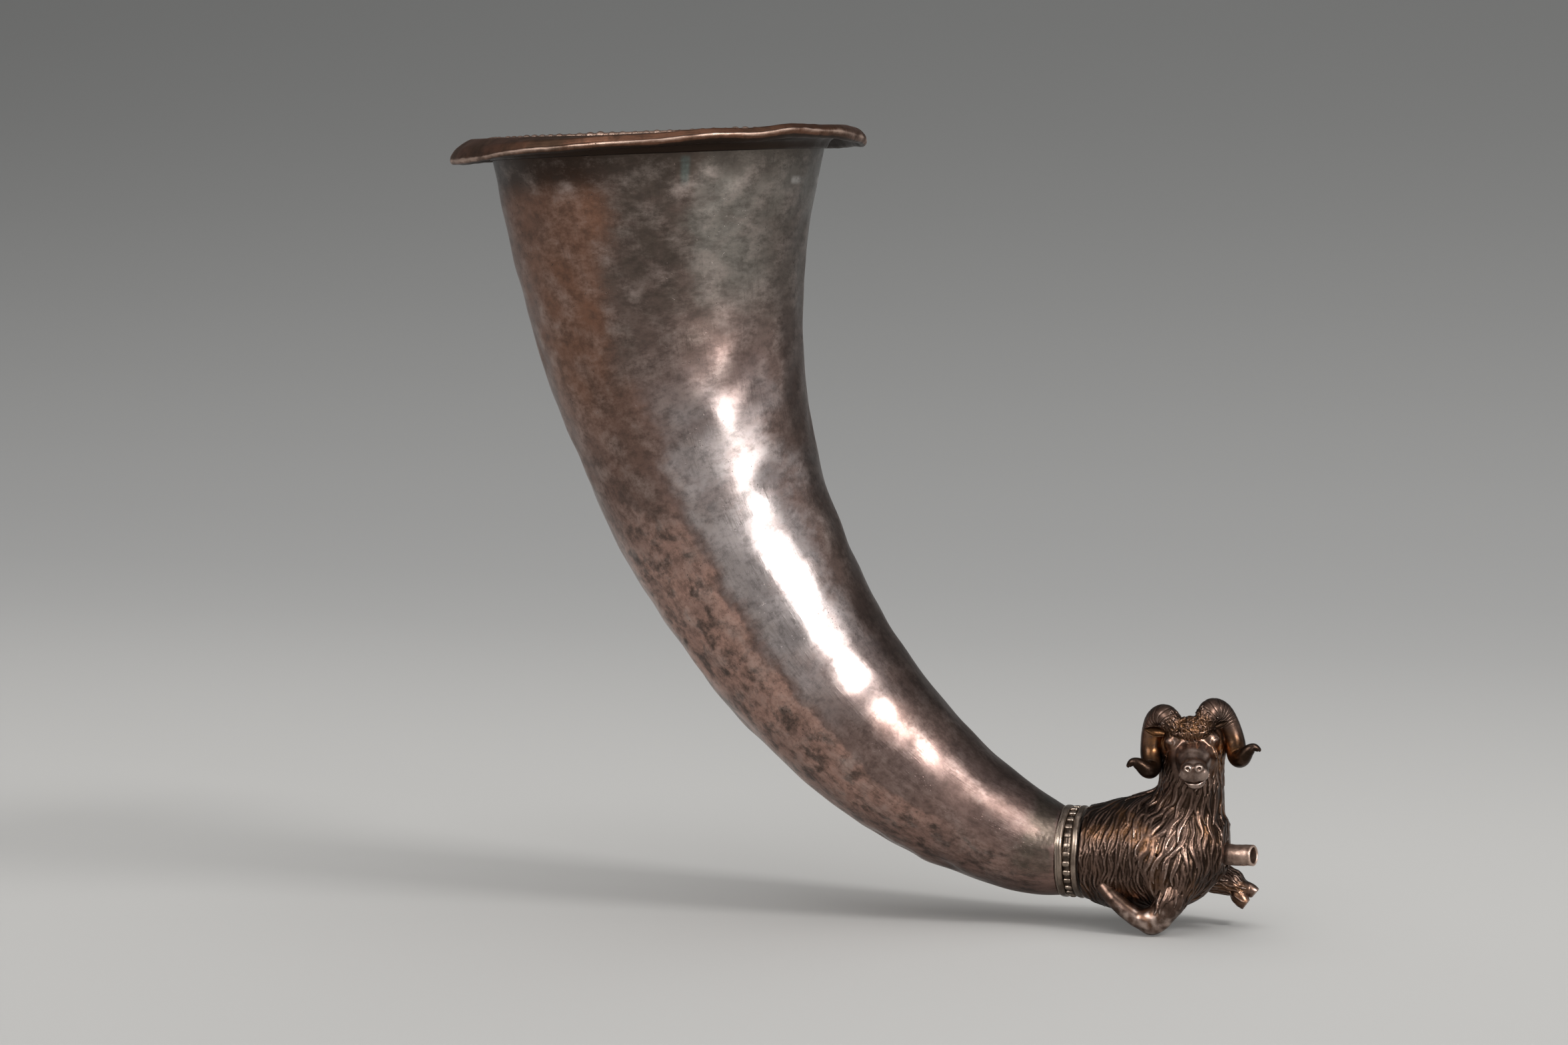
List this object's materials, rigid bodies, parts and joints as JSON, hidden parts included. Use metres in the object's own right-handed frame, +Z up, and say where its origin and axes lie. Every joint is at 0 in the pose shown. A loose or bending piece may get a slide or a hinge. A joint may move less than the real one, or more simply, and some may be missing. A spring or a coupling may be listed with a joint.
{
  "type": "rhyton",
  "caption": "Curved silver drinking horn with a wide drooping lip and a beaded collar, ending in the forepart of a lying ram that pours from a tube in its chest.",
  "frame": {"origin": "centre of the collar that joins the horn to the ram", "axes": "+X along the collar towards the ram's chest, +Z up as the cup is held, -Y the side that the ram looks to"},
  "size_m": [0.2554, 0.129, 0.2423],
  "materials": {
    "horn_silver": "raised silver sheet, satin, tarnished brown and copper in patches",
    "rim_silver": "tarnished silver, worn bright on its edge",
    "collar_silver": "tarnished silver, rubbed bright on the beads",
    "ram_silver": "dark tarnished cast silver, coppery on the high places",
    "spout_silver": "tarnished silver tube, dark inside"
  },
  "bodies": {
    "root": {"horn_body": "horn_silver", "rim_lip": "rim_silver", "rim_beading": "rim_silver", "collar_sleeve": "collar_silver", "collar_rear_band": "collar_silver", "collar_beading": "collar_silver", "collar_front_band": "collar_silver", "ram_body": "ram_silver", "ram_head": "ram_silver", "ram_horn_right": "ram_silver", "ram_horn_left": "ram_silver", "ear_right": "ram_silver", "ear_left": "ram_silver", "foreleg_right": "ram_silver", "foreleg_left": "ram_silver", "spout_tube": "spout_silver"}
  },
  "joints": []
}
